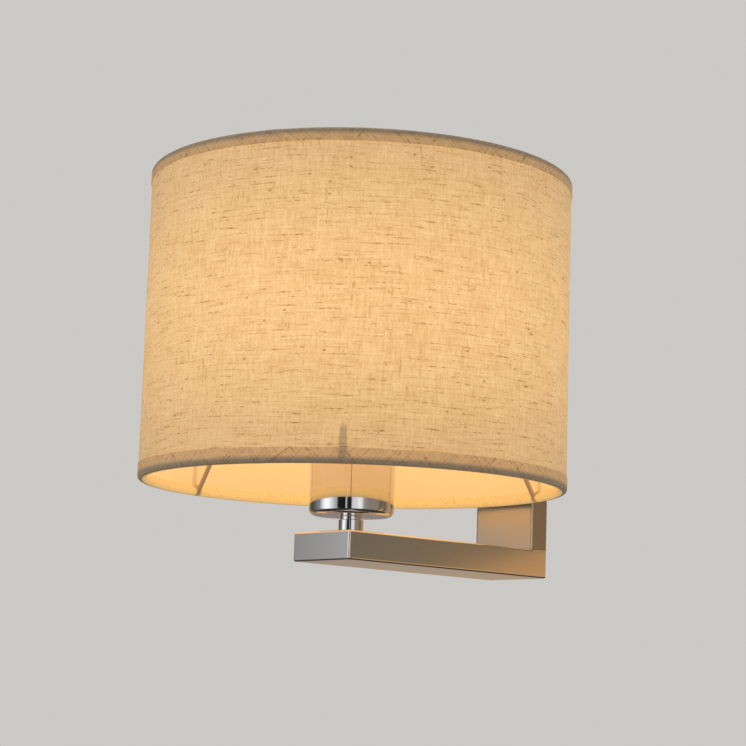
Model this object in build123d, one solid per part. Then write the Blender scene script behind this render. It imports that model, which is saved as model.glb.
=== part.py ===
"""Wall light: a fabric drum shade on a chrome bracket, with its lampholder, bulb and wiring.

Millimetres. The origin is the middle of the two wall slots, on the wall. X runs along the wall,
the lamp stands out towards -Y, and Z is up. What belongs to the lamp is turned about its own
upright axis and then moved out from the wall by wall_to_axis.
"""

from build123d import *
from math import atan2, cos, radians, sin, sqrt, tan
import os

# How far a cut runs past the faces that it opens
overrun = 1.0

# Shade
shade_diameter = 220.0
shade_height = 161.0
fabric_thickness = 0.6
liner_thickness = 0.4
glue_line = 0.02
rim_wire_diameter = 3.0
binding_thickness = 0.4
bottom_binding_outside = 7.5
top_binding_outside = 6.5
binding_inside = 7.0
shade_above_arm = 23.6
shade_wall_gap = 16.0

# Spider that carries the shade; its spokes are welded a little unevenly
spoke_azimuths = [-45.5, 70.3, 189.3]
spoke_diameter = 2.5
spoke_foot_inset = 1.3
spoke_rise_angle = 62.0
spoke_bend_height = 31.0
spoke_bend_radius = 8.0
spoke_slit_clearance = 0.15
fitter_height = 38.0
fitter_thickness = 2.0
fitter_width = 4.75
fitter_clearance = 0.5

# Bracket
bracket_width = 42.0
bracket_wall = 1.5
arm_edge_radius = 1.1
plate_edge_radius = 1.8
plate_height = 120.0
plate_depth = 12.0
arm_height = 15.0
arm_beyond_axis = 20.2
end_cap_depth = 3.0

# Wall strap
strap_thickness = 1.5
strap_width = 30.0
strap_end_margin = 14.0
strap_to_plate_clearance = 0.3
tab_height = 16.0
tab_depth = 9.0
slot_spacing = 60.0
slot_length = 12.0
slot_width = 4.6
cable_hole_diameter = 13.0
cable_bore_diameter = 8.0
grommet_flange_diameter = 17.0
grommet_flange_thickness = 1.5
grommet_edge_radius = 0.5

# Machine screws
screw_diameter = 4.0
screw_clearance = 0.2
screw_head_diameter = 6.6
screw_head_height = 1.8
screw_head_edge_radius = 0.6
screw_slot_width = 0.9
screw_slot_depth = 0.8
tapped_clearance = 0.05
side_screw_length = 7.0

# Terminal block
pole_count = 3
pole_pitch = 9.0
block_height = 12.0
block_depth = 8.0
block_end_margin = 4.5
block_below_grommet = 2.0
block_edge_radius = 0.75
insert_diameter = 4.4
insert_bore_diameter = 2.7
insert_length = 10.0
insert_clearance = 0.05
clamp_screw_diameter = 2.4
clamp_screw_spacing = 5.6
clamp_screw_recess = 0.6

# Leads and earth tag
lead_diameter = 2.0
lead_depth = 5.5
lead_floor_gap = 1.2
lead_bend_radius = 8.0
lead_nipple_spread = 1.6
lead_nipple_bend_radius = 6.0
lead_above_nipple = 2.0
lead_terminal_bend_radius = 4.5
lead_gather_length = 34.0
lead_gather_radius = 30.0
lead_in_terminal = 3.0
earth_screw_below_slot = 7.0
earth_tag_thickness = 0.8
earth_tag_diameter = 8.0
earth_barrel_diameter = 3.4
earth_barrel_length = 5.0
earth_barrel_clearance = 0.05
earth_barrel_floor = 1.0
earth_lead_depth = 3.4
earth_lead_drop = 2.0
earth_lead_straight = 3.0
earth_lead_end_gap = 0.5

# Stem and nipple
stem_sleeve_diameter = 12.7
stem_sleeve_height = 7.0
stem_collar_diameter = 11.2
stem_collar_height = 2.0
nipple_diameter = 10.0
nipple_bore_diameter = 8.0
nipple_hole_clearance = 0.15
nipple_end_gap = 1.0
washer_thickness = 0.8
washer_diameter = 17.0
nut_across_flats = 14.0
nut_thickness = 3.0

# Lampholder
cup_diameter = 43.7
cup_height = 42.0
cup_wall = 0.8
cup_edge_radius = 3.0
cup_lip_radius = 0.25
holder_base_clearance = 0.85
holder_base_height = 29.0
holder_base_wall = 1.5
holder_base_floor = 6.0
holder_height = 62.0
holder_thread_diameter = 39.5
holder_thread_relief = 1.0
holder_thread_pitch = 2.5
thread_flank_share = 0.25
thread_crest_share = 0.2
holder_bore_diameter = 30.6
holder_mouth_diameter = 29.2
holder_mouth_lip = 2.0
holder_spigot_depth = 8.0
holder_spigot_clearance = 0.1
holder_shoulder_height = 4.0
insert_disc_thickness = 7.0
insert_disc_diameter = 32.6
insert_disc_clearance = 0.2
insert_disc_edge_radius = 0.8
insert_disc_sink = 1.0
screw_shell_wall = 0.4
screw_shell_height = 24.0
screw_shell_lip = 2.0
cap_running_clearance = 0.1
contact_strip_width = 6.0
contact_strip_thickness = 0.5
contact_strip_reach = 8.0
side_contact_height = 9.0
holder_terminal_width = 6.0
holder_terminal_height = 5.0
holder_terminal_offset = 9.5
terminal_bore_diameter = 2.4
terminal_screw_diameter = 2.6
terminal_screw_length = 3.0

# Shade rings
shade_ring_width = 4.8
shade_ring_height = 6.0
lower_ring_height = 4.0
ring_thread_clearance = 0.1
ring_flute_count = 24
ring_flute_radius = 1.1
ring_edge_radius = 0.6
slip_washer_thickness = 0.6
slip_washer_width = 4.2

# Bulb
bulb_diameter = 60.0
bulb_length = 105.0
bulb_glass = 0.8
bulb_neck_diameter = 27.0
bulb_neck_height = 30.0
cap_diameter = 26.0
cap_length = 25.5
cap_wall = 0.4
cap_thread_pitch = 3.62
cap_thread_depth = 0.7
cap_thread_turns = 4
cap_insulator_height = 3.0
cap_contact_diameter = 9.0
cap_contact_height = 1.5
cap_thread_start = 2.2
bulb_seat_height = 5.0
glass_stem_diameter = 7.0
glass_stem_flare_diameter = 20.0
glass_stem_flare_height = 9.0
glass_stem_height = 34.0
filament_wire_diameter = 0.8
filament_half_span = 13.0
filament_height = 16.0
filament_crown = 5.0
filament_bend_radius = 3.0
filament_root = 1.8

# Heights that follow from the sizes above
plate_top = plate_height / 2
arm_bottom = -plate_height / 2
arm_top = arm_bottom + arm_height
shade_bottom = arm_top + shade_above_arm
shade_top = shade_bottom + shade_height
sleeve_top = arm_top + stem_sleeve_height
cup_bottom = sleeve_top + stem_collar_height
cup_floor = cup_bottom + cup_wall
holder_base_top = cup_floor + holder_base_height
holder_top = cup_floor + holder_height
insert_top = holder_base_top - insert_disc_sink
insert_bottom = insert_top - insert_disc_thickness
fitter_bottom = shade_bottom + fitter_height
fitter_top = fitter_bottom + fitter_thickness
slip_washer_top = fitter_top + slip_washer_thickness
bulb_tip = insert_top + bulb_seat_height
cap_shell_bottom = bulb_tip + cap_contact_height + cap_insulator_height
cap_top = bulb_tip + cap_length
nipple_bottom = arm_top - bracket_wall - washer_thickness - nut_thickness - nipple_end_gap
nipple_top = cup_floor + holder_base_floor

# Heights on the wall strap that follow
strap_height = slot_spacing + slot_length + 2 * strap_end_margin
block_top = -(grommet_flange_diameter / 2 + block_below_grommet)
block_middle = block_top - block_height / 2
earth_screw_height = -((slot_spacing + slot_length) / 2 + earth_screw_below_slot)
earth_barrel_low = earth_screw_height + earth_tag_diameter / 2
side_screw_y = -(strap_thickness + tab_depth) / 2

# Radii and depths that follow
wall_to_axis = shade_diameter / 2 + shade_wall_gap
fabric_radius = shade_diameter / 2 - binding_thickness - glue_line
liner_radius = fabric_radius - fabric_thickness - glue_line
liner_inside = liner_radius - liner_thickness
rim_wire_radius = rim_wire_diameter / 2
rim_wire_circle = liner_inside - rim_wire_radius - glue_line
rim_wire_rise = binding_thickness + glue_line + rim_wire_radius
fitter_inside = holder_thread_diameter / 2 + fitter_clearance
fitter_outside = fitter_inside + fitter_width
holder_base_radius = cup_diameter / 2 - cup_wall - holder_base_clearance
holder_base_inside = holder_base_radius - holder_base_wall
nipple_hole_radius = nipple_diameter / 2 + nipple_hole_clearance
screw_shell_inside = cap_diameter / 2 + cap_running_clearance
arm_front = -(wall_to_axis + arm_beyond_axis)
plate_inside = bracket_width / 2 - bracket_wall
tab_outside = plate_inside - strap_to_plate_clearance
terminal_tapped = terminal_screw_diameter / 2 + tapped_clearance
terminal_z = insert_bottom - holder_terminal_height + lead_in_terminal / 2


def turned(points):
    """Solid turned about Z from a closed outline of (radius, height) points."""
    outline = Polyline([(radius, 0, height) for radius, height in points], close=True)
    return revolve(make_face(outline), Axis.Z)


def tube(outside, inside, low, high):
    """Upright tube about Z, given by its two radii and two heights."""
    return turned([(inside, low), (outside, low), (outside, high), (inside, high)])


def rod(radius, low, high):
    """Upright round bar about Z."""
    height = high - low
    return Pos(0, 0, low + height / 2) * Cylinder(radius, height)


def block(low, high):
    """Box between two opposite corners."""
    size = [b - a for a, b in zip(low, high)]
    middle = [(a + b) / 2 for a, b in zip(low, high)]
    return Pos(*middle) * Box(*size)


def bar_along(axis, radius, start, end):
    """Round bar from start to end, which differ only along axis ("X" or "Y")."""
    turn = Rot(0, 90, 0) if axis == "X" else Rot(90, 0, 0)
    length = (Vector(*end) - Vector(*start)).length
    middle = (Vector(*start) + Vector(*end)) * 0.5
    return Pos(middle) * turn * Cylinder(radius, length)


def at_lamp(shape):
    """Moves a piece made about Z out to the lamp's axis."""
    return Pos(0, -wall_to_axis, 0) * shape


def swept_wire(points, radii, diameter):
    """Round wire along straight runs joined by tangent arcs."""
    path = FilletPolyline(points, radius=radii)
    section = Plane(path @ 0, z_dir=path % 0) * Circle(diameter / 2)
    wire = sweep(section, path)
    print("wire radii", radii, "length", round(path.length, 1), "volume", round(wire.volume, 1))
    return wire


def save(name, shape):
    shape.label = name
    export_step(shape, os.path.join("parts", name + ".step"))


# ---------------------------------------------------------------- wall strap


def wall_strap():
    """Steel strap that is screwed to the wall, with two ears bent forward for the side screws."""
    half = strap_width / 2
    strap = block((-half, -strap_thickness, -strap_height / 2), (half, 0, strap_height / 2))
    strap += block((-tab_outside, -strap_thickness, -tab_height / 2), (tab_outside, 0, tab_height / 2))
    for side in (-1, 1):
        inner, outer = sorted((side * (tab_outside - strap_thickness), side * tab_outside))
        strap += block((inner, -tab_depth, -tab_height / 2), (outer, 0, tab_height / 2))
    behind, front = overrun, -strap_thickness - overrun
    cut = bar_along("Y", cable_hole_diameter / 2, (0, behind, 0), (0, front, 0))
    slot = SlotOverall(slot_length, slot_width, rotation=90)
    for side in (-1, 1):
        outline = Plane.XZ * (Pos(0, side * slot_spacing / 2) * slot)
        cut += extrude(outline, strap_thickness, both=True)
    tapped = screw_diameter / 2 + tapped_clearance
    cut += bar_along("X", tapped, (-bracket_width / 2, side_screw_y, 0), (bracket_width / 2, side_screw_y, 0))
    cut += bar_along("Y", tapped, (0, behind, earth_screw_height), (0, front, earth_screw_height))
    return strap - cut


def pan_screw(length):
    """Slotted pan-head screw along -Z, with its head above z = 0."""
    head = rod(screw_head_diameter / 2, 0, screw_head_height)
    head = fillet(head.edges().group_by(Axis.Z)[-1], screw_head_edge_radius)
    slot_low = screw_head_height - screw_slot_depth
    slot_high = screw_head_height + overrun
    reach = screw_head_diameter
    head -= block((-reach, -screw_slot_width / 2, slot_low), (reach, screw_slot_width / 2, slot_high))
    return head + rod(screw_diameter / 2, -length, 0)


def side_screws():
    """Two screws that hold the plate to the strap's ears, one on each side."""
    placed = []
    for side in (-1, 1):
        turn = Rot(0, side * 90, 0)
        placed.append(Pos(side * bracket_width / 2, side_screw_y, 0) * turn * pan_screw(side_screw_length))
    return Compound(placed)


def cable_grommet():
    """Rubber bush in the strap's middle hole, through which the supply cable comes."""
    reach = strap_thickness + grommet_flange_thickness
    bush = bar_along("Y", cable_hole_diameter / 2, (0, 0, 0), (0, -reach, 0))
    flange_start = (0, -strap_thickness, 0)
    bush += bar_along("Y", grommet_flange_diameter / 2, flange_start, (0, -reach, 0))
    front_edge = bush.edges().filter_by(GeomType.CIRCLE).group_by(Axis.Y)[0][-1]
    bush = fillet(front_edge, grommet_edge_radius)
    return bush - bar_along("Y", cable_bore_diameter / 2, (0, overrun, 0), (0, -reach - overrun, 0))


# ------------------------------------------------------- terminal block, earth


def pole_x(index):
    return (index - (pole_count - 1) / 2) * pole_pitch


def terminal_block():
    """Nylon strip connector on the strap, with a bore for each pole and two screw wells over it."""
    half_width = (pole_count - 1) / 2 * pole_pitch + block_end_margin
    front = -strap_thickness - block_depth
    low = (-half_width, front, block_top - block_height)
    body = block(low, (half_width, -strap_thickness, block_top))
    body = fillet(body.edges().filter_by(Axis.Z), block_edge_radius)
    bore = insert_diameter / 2 + insert_clearance
    well = clamp_screw_diameter / 2 + insert_clearance
    for index in range(pole_count):
        x = pole_x(index)
        body -= Pos(x, -lead_depth, block_middle) * Cylinder(bore, block_height + overrun)
        for side in (-1, 1):
            z = block_middle + side * clamp_screw_spacing / 2
            body -= bar_along("Y", well, (x, -lead_depth, z), (x, front - overrun, z))
    return body


def terminal_inserts():
    """Brass barrels in the terminal block, one for each pole."""
    barrels = []
    for index in range(pole_count):
        x = pole_x(index)
        barrel = Cylinder(insert_diameter / 2, insert_length)
        barrel -= Cylinder(insert_bore_diameter / 2, insert_length)
        barrel = Pos(x, -lead_depth, block_middle) * barrel
        for side in (-1, 1):
            z = block_middle + side * clamp_screw_spacing / 2
            tapped = clamp_screw_diameter / 2 + tapped_clearance
            barrel -= bar_along("Y", tapped, (x, -lead_depth, z), (x, -lead_depth - insert_diameter, z))
        barrels.append(barrel)
    return Compound(barrels)


def terminal_screws():
    """Clamp screws of the terminal block: each ends on its lead, or on the bore's near wall line."""
    front = -strap_thickness - block_depth + clamp_screw_recess
    tip = -lead_depth - lead_diameter / 2
    screws = []
    for index in range(pole_count):
        for side in (-1, 1):
            x, z = pole_x(index), block_middle + side * clamp_screw_spacing / 2
            screw = bar_along("Y", clamp_screw_diameter / 2, (x, tip, z), (x, front, z))
            half_slot = clamp_screw_recess / 2
            slot_low = (x - clamp_screw_diameter, front - overrun, z - half_slot)
            slot_high = (x + clamp_screw_diameter, front + clamp_screw_recess, z + half_slot)
            screws.append(screw - block(slot_low, slot_high))
    return Compound(screws)


def earth_tag():
    """Ring tag under the earth screw, with the barrel that is crimped on the earth lead."""
    back = -strap_thickness
    front = back - earth_tag_thickness
    start, end = (0, back, earth_screw_height), (0, front, earth_screw_height)
    tag = bar_along("Y", earth_tag_diameter / 2, start, end)
    half = earth_barrel_diameter / 2
    bore_low = earth_barrel_low + earth_barrel_floor
    barrel_top = earth_barrel_low + earth_barrel_length
    tag += block((-half, front, earth_screw_height), (half, back, bore_low))
    bore = lead_diameter / 2 + earth_barrel_clearance
    tag += Pos(0, -earth_lead_depth, 0) * rod(half, earth_barrel_low, barrel_top)
    tag -= Pos(0, -earth_lead_depth, 0) * rod(bore, bore_low, barrel_top + overrun)
    hole = screw_diameter / 2 + screw_clearance
    start, end = (0, back + overrun, earth_screw_height), (0, front - overrun, earth_screw_height)
    return tag - bar_along("Y", hole, start, end)


def earth_screw():
    """Screw that clamps the earth tag to the strap and ends flush with the strap's back."""
    length = strap_thickness + earth_tag_thickness
    return Pos(0, -length, earth_screw_height) * Rot(90, 0, 0) * pan_screw(length)


# ----------------------------------------------------------------------- leads


def lamp_lead(side):
    """Insulated lead from the terminal block, down the plate, along the arm and up the nipple."""
    floor = arm_bottom + bracket_wall + lead_floor_gap + lead_diameter / 2
    x = side * pole_pitch
    nipple_x = side * lead_nipple_spread
    terminal_x = side * holder_terminal_offset
    terminal_low = insert_bottom - holder_terminal_height
    turn_height = nipple_top + lead_above_nipple
    points = [
        (x, -lead_depth, block_middle),
        (x, -lead_depth, floor),
        (x, lead_gather_length - wall_to_axis, floor),
        (nipple_x, -wall_to_axis, floor),
        (nipple_x, -wall_to_axis, turn_height),
        (terminal_x, -wall_to_axis, terminal_low - lead_terminal_bend_radius),
        (terminal_x, -wall_to_axis, terminal_low + lead_in_terminal),
    ]
    turn = lead_terminal_bend_radius
    radii = [lead_bend_radius, lead_gather_radius, lead_nipple_bend_radius, turn, turn]
    return swept_wire(points, radii, lead_diameter)


def earth_lead():
    """Short lead from the middle pole to the earth tag, in front of the lower wall screw."""
    barrel_top = earth_barrel_low + earth_barrel_length
    points = [
        (0, -lead_depth, block_middle),
        (0, -lead_depth, block_top - block_height - earth_lead_drop),
        (0, -earth_lead_depth, barrel_top + earth_lead_straight),
        (0, -earth_lead_depth, earth_barrel_low + earth_barrel_floor + earth_lead_end_gap),
    ]
    return swept_wire(points, [lead_bend_radius, lead_bend_radius / 2], lead_diameter)


# --------------------------------------------------------------------- bracket


def bracket_arm():
    """Folded arm from the wall to its front end, hollow, with rounded edges; its last few
    millimetres are the end cap. Under the plate its upper edges stay sharp, flush with it."""
    half = bracket_width / 2
    body = block((-half, arm_front, arm_bottom), (half, 0, arm_top))
    long_edges = body.edges().filter_by(Axis.Y)
    front_edges = body.edges().group_by(Axis.Y)[0]
    body = fillet(long_edges + front_edges, arm_edge_radius)
    shoulder = -plate_depth + plate_edge_radius
    body += block((-half, shoulder, arm_top - arm_height / 2), (half, 0, arm_top))
    inside = half - bracket_wall
    low = (-inside, arm_front + bracket_wall, arm_bottom + bracket_wall)
    return body - block(low, (inside, overrun, arm_top - bracket_wall))


def end_cap_zone():
    half = bracket_width / 2 + overrun
    low = (-half, arm_front - overrun, arm_bottom - overrun)
    return block(low, (half, arm_front + end_cap_depth, arm_top + overrun))


def arm_end_cap():
    """Pressed cap welded on the arm's front end and polished over."""
    return bracket_arm() & end_cap_zone()


def arm_tube():
    """The arm behind its end cap, with the nipple's hole, and open above into the plate."""
    arm = bracket_arm() - end_cap_zone()
    arm -= at_lamp(rod(nipple_hole_radius, arm_top - arm_height / 2, arm_top + overrun))
    low = (-plate_inside, -plate_depth + bracket_wall, arm_top - 2 * bracket_wall)
    return arm - block(low, (plate_inside, overrun, arm_top + overrun))


def wall_plate():
    """Tall hollow cover over the strap, open at its back and welded along its foot to the arm."""
    half = bracket_width / 2
    body = block((-half, -plate_depth, arm_top), (half, 0, plate_top))
    rounded = body.edges().filter_by(Axis.Z).group_by(Axis.Y)[0]
    top_edges = body.edges().group_by(Axis.Z)[-1]
    rounded += top_edges.filter_by(Axis.Y) + top_edges.group_by(Axis.Y)[0]
    body = fillet(rounded, plate_edge_radius)
    low = (-plate_inside, -plate_depth + bracket_wall, arm_top - overrun)
    body -= block(low, (plate_inside, overrun, plate_top - bracket_wall))
    hole = screw_diameter / 2 + screw_clearance
    reach = half + overrun
    return body - bar_along("X", hole, (-reach, side_screw_y, 0), (reach, side_screw_y, 0))


# ------------------------------------------------------------- stem and nipple


def stem_sleeve():
    return tube(stem_sleeve_diameter / 2, nipple_hole_radius, arm_top, sleeve_top)


def stem_collar():
    return tube(stem_collar_diameter / 2, nipple_hole_radius, sleeve_top, cup_bottom)


def threaded_nipple():
    """Hollow threaded tube that clamps the arm, stem and cup to the lampholder."""
    return tube(nipple_diameter / 2, nipple_bore_diameter / 2, nipple_bottom, nipple_top)


def lock_washer():
    top = arm_top - bracket_wall
    return tube(washer_diameter / 2, nipple_hole_radius, top - washer_thickness, top)


def nipple_nut():
    top = arm_top - bracket_wall - washer_thickness
    hexagon = RegularPolygon(nut_across_flats / 2, 6, major_radius=False)
    nut = Pos(0, 0, top - nut_thickness) * extrude(hexagon, nut_thickness)
    tapped = nipple_diameter / 2 + tapped_clearance
    return nut - rod(tapped, top - nut_thickness - overrun, top + overrun)


# ----------------------------------------------------------------- lampholder


def lampholder_cup():
    """Drawn metal cup, open at the top, with a rounded bottom edge and the nipple's hole."""
    radius = cup_diameter / 2
    top = cup_bottom + cup_height
    outside = rod(radius, cup_bottom, top)
    outside = fillet(outside.edges().group_by(Axis.Z)[0], cup_edge_radius)
    inside = rod(radius - cup_wall, cup_floor, top + overrun)
    inside = fillet(inside.edges().group_by(Axis.Z)[0], cup_edge_radius - cup_wall)
    cup = outside - inside - rod(nipple_hole_radius, cup_bottom - overrun, cup_floor + overrun)
    return fillet(cup.edges().group_by(Axis.Z)[-1], cup_lip_radius)


def lampholder_base():
    """Lower half of the lampholder: a cup whose floor is tapped for the nipple."""
    body = rod(holder_base_radius, cup_floor, holder_base_top)
    body = fillet(body.edges().group_by(Axis.Z)[0], cup_edge_radius)
    body -= rod(holder_base_inside, cup_floor + holder_base_floor, holder_base_top + overrun)
    return body - rod(nipple_diameter / 2 + tapped_clearance, cup_floor - overrun, holder_base_top)


def ridge(root, crest, low, pitch):
    """Outline of one turn of a thread, drawn as a ridge in the middle of its pitch."""
    flank, flat = thread_flank_share * pitch, thread_crest_share * pitch
    foot = low + (pitch - 2 * flank - flat) / 2
    heights = [foot, foot + flank, foot + flank + flat, foot + 2 * flank + flat]
    return list(zip([root, crest, crest, root], heights))


def lampholder_body():
    """Upper half: a sleeve with a coarse outer thread for the shade rings, drawn as ridges."""
    spigot = holder_base_inside - holder_spigot_clearance
    spigot_low = holder_base_top - holder_spigot_depth
    shoulder_top = holder_base_top + holder_shoulder_height
    crest = holder_thread_diameter / 2
    root = crest - holder_thread_relief
    outline = [
        (insert_disc_diameter / 2 + insert_disc_clearance, spigot_low),
        (spigot, spigot_low),
        (spigot, holder_base_top),
        (holder_base_radius, holder_base_top),
        (holder_base_radius, shoulder_top),
        (root, shoulder_top),
    ]
    ridges = int((holder_top - shoulder_top) // holder_thread_pitch)
    for index in range(ridges):
        outline += ridge(root, crest, shoulder_top + index * holder_thread_pitch, holder_thread_pitch)
    outline += [
        (root, holder_top),
        (holder_mouth_diameter / 2, holder_top),
        (holder_mouth_diameter / 2, holder_top - holder_mouth_lip),
        (holder_bore_diameter / 2, holder_top - holder_mouth_lip),
        (holder_bore_diameter / 2, insert_top),
        (insert_disc_diameter / 2 + insert_disc_clearance, insert_top),
    ]
    return turned(outline)


def contact_insert():
    """Ceramic disc in the lampholder that carries the contacts and terminals."""
    disc = rod(insert_disc_diameter / 2, insert_bottom, insert_top)
    return fillet(disc.edges().group_by(Axis.Z)[0], insert_disc_edge_radius)


def screw_shell():
    """Brass shell that the bulb's cap screws into, standing on the ceramic disc."""
    outside = screw_shell_inside + screw_shell_wall
    shell = tube(outside, screw_shell_inside, insert_top, insert_top + screw_shell_height)
    lip_inside = screw_shell_inside - screw_shell_lip
    return shell + tube(outside, lip_inside, insert_top, insert_top + screw_shell_wall)


def centre_contact():
    """Springy brass tongue that rises from the ceramic disc to the bulb's contact."""
    half = contact_strip_width / 2
    thick = contact_strip_thickness
    foot = -contact_strip_reach
    outline = Polyline(
        [
            (foot, 0, insert_top),
            (0, 0, insert_top),
            (0, 0, insert_top + thick),
            (foot + 2 * thick, 0, insert_top + thick),
            (foot + 4 * thick, 0, bulb_tip - thick),
            (-foot / 2, 0, bulb_tip - thick),
            (-foot / 2, 0, bulb_tip),
            (foot + 3 * thick, 0, bulb_tip),
            (foot, 0, insert_top + thick),
        ],
        close=True,
    )
    return extrude(make_face(outline), half, dir=(0, 1, 0), both=True)


def side_contact():
    """Brass strip from the ceramic disc that stands against the outside of the screw shell."""
    inner = screw_shell_inside + screw_shell_wall + glue_line
    half = contact_strip_width / 2
    top = insert_top + side_contact_height
    strip = tube(inner + contact_strip_thickness, inner, insert_top, top)
    return strip & block((0, -half, insert_top - overrun), (cup_diameter, half, top + overrun))


def holder_terminals():
    """Two brass terminals under the ceramic disc, each bored from below for its lead."""
    half = holder_terminal_width / 2
    low = insert_bottom - holder_terminal_height
    blocks = []
    for side in (-1, 1):
        x = side * holder_terminal_offset
        terminal = block((x - half, -half, low), (x + half, half, insert_bottom))
        terminal -= Pos(x, 0, 0) * rod(terminal_bore_diameter / 2, low - overrun, low + lead_in_terminal)
        start, end = (x, -half - overrun, terminal_z), (x, 0, terminal_z)
        blocks.append(terminal - bar_along("Y", terminal_tapped, start, end))
    return Compound(blocks)


def holder_terminal_screws():
    """Clamp screws of the lampholder's terminals, each ending on its lead."""
    screws = []
    for side in (-1, 1):
        x = side * holder_terminal_offset
        tip = -lead_diameter / 2
        end = tip - terminal_screw_length
        screws.append(bar_along("Y", terminal_screw_diameter / 2, (x, tip, terminal_z), (x, end, terminal_z)))
    return Compound(screws)


# --------------------------------------------------------------- shade rings


def fluted_ring(low, height):
    """Threaded ring with finger flutes around its outside."""
    inside = holder_thread_diameter / 2 + ring_thread_clearance
    outside = inside + shade_ring_width
    ring = rod(outside, low, low + height)
    ring = fillet(ring.edges().filter_by(GeomType.CIRCLE), ring_edge_radius)
    below, above = low - overrun, low + height + overrun
    flute = Pos(outside + ring_flute_radius / 2, 0, 0) * rod(ring_flute_radius, below, above)
    for index in range(ring_flute_count):
        ring -= Rot(0, 0, index * 360 / ring_flute_count) * flute
    return ring - rod(inside, below, above)


def lower_shade_ring():
    return fluted_ring(fitter_bottom - lower_ring_height, lower_ring_height)


def upper_shade_ring():
    return fluted_ring(slip_washer_top, shade_ring_height)


def slip_washer():
    """Thin washer clipped under the upper ring, which keeps the ring from dragging the shade."""
    return tube(fitter_inside + slip_washer_width, fitter_inside, fitter_top, slip_washer_top)


# --------------------------------------------------------------------- shade


def fitter_ring():
    return tube(fitter_outside, fitter_inside, fitter_bottom, fitter_top)


def bottom_wire():
    """Steel wire ring that stiffens the shade's lower rim."""
    section = Plane.XZ * (Pos(rim_wire_circle, shade_bottom + rim_wire_rise) * Circle(rim_wire_radius))
    return revolve(section, Axis.Z)


def spoke_solid(azimuth, diameter):
    """Round steel arm: steeply up from inside the bottom wire, then bent in to the fitter ring."""
    foot = rim_wire_circle - spoke_foot_inset
    rise = spoke_bend_height - rim_wire_rise
    bend = (foot - rise / tan(radians(spoke_rise_angle)), 0, shade_bottom + spoke_bend_height)
    end = (fitter_inside, 0, fitter_bottom + fitter_thickness / 2)
    points = [Vector(foot, 0, shade_bottom + rim_wire_rise), bend, end]
    return Rot(0, 0, azimuth) * swept_wire(points, [spoke_bend_radius], diameter)


def shade_spoke(azimuth):
    """One spoke, ground to fit against the wire and the fitter ring that it is welded to."""
    ground = bottom_wire() + rod(fitter_outside, fitter_bottom - spoke_diameter, fitter_top + spoke_diameter)
    spoke = spoke_solid(azimuth, spoke_diameter) - ground
    return spoke.solids().sort_by(SortBy.VOLUME)[-1]


def shade_fabric():
    """Stiff linen panel rolled into a drum, from wire to wire."""
    low = shade_bottom + rim_wire_rise
    return tube(fabric_radius, fabric_radius - fabric_thickness, low, shade_top - rim_wire_rise)


def shade_liner():
    """White plastic film glued to the inside of the linen."""
    low = shade_bottom + rim_wire_rise
    return tube(liner_radius, liner_inside, low, shade_top - rim_wire_rise)


def binding(outside_height):
    """Bias tape folded round the lower rim: outside leg, round the wire, inside leg."""
    tape = binding_thickness
    outer_face = shade_diameter / 2
    low = shade_bottom
    edge = low + outside_height
    inside_edge = low + binding_inside
    centre_z = low + rim_wire_rise
    round_out = rim_wire_rise
    round_in = rim_wire_radius + glue_line
    outer_centre = outer_face - round_out
    inner_centre = rim_wire_circle
    slant = sqrt(0.5)
    lip = liner_inside - glue_line
    leg_low = centre_z + 2 * round_out
    outline = [
        Line((outer_face, 0, edge), (outer_face, 0, centre_z)),
        ThreePointArc(
            (outer_face, 0, centre_z),
            (outer_centre + round_out * slant, 0, centre_z - round_out * slant),
            (outer_centre, 0, low),
        ),
        Line((outer_centre, 0, low), (inner_centre, 0, low)),
        ThreePointArc(
            (inner_centre, 0, low),
            (inner_centre - round_out, 0, centre_z),
            (inner_centre, 0, centre_z + round_out),
        ),
        Line((inner_centre, 0, centre_z + round_out), (lip - tape, 0, leg_low)),
        Line((lip - tape, 0, leg_low), (lip - tape, 0, inside_edge)),
        Line((lip - tape, 0, inside_edge), (lip, 0, inside_edge)),
        Line((lip, 0, inside_edge), (lip, 0, leg_low - tape)),
        Line((lip, 0, leg_low - tape), (inner_centre, 0, centre_z + round_in)),
        ThreePointArc(
            (inner_centre, 0, centre_z + round_in),
            (inner_centre - round_in, 0, centre_z),
            (inner_centre, 0, centre_z - round_in),
        ),
        Line((inner_centre, 0, centre_z - round_in), (outer_centre, 0, centre_z - round_in)),
        ThreePointArc(
            (outer_centre, 0, centre_z - round_in),
            (outer_centre + round_in * slant, 0, centre_z - round_in * slant),
            (outer_centre + round_in, 0, centre_z),
        ),
        Line((outer_centre + round_in, 0, centre_z), (outer_face - tape, 0, centre_z + tape)),
        Line((outer_face - tape, 0, centre_z + tape), (outer_face - tape, 0, edge)),
        Line((outer_face - tape, 0, edge), (outer_face, 0, edge)),
    ]
    return revolve(make_face(Wire(outline)), Axis.Z)


def over_the_shade(shape):
    """The same piece upside down, on the shade's upper rim."""
    return mirror(shape, Plane.XY.offset((shade_bottom + shade_top) / 2))


def bottom_binding():
    """The lower rim's binding, slit where the spokes leave the wire."""
    tape = binding(bottom_binding_outside)
    for azimuth in spoke_azimuths:
        tape -= spoke_solid(azimuth, spoke_diameter + 2 * spoke_slit_clearance)
    return tape


def top_binding():
    return over_the_shade(binding(top_binding_outside))


# ---------------------------------------------------------------------- bulb


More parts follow.
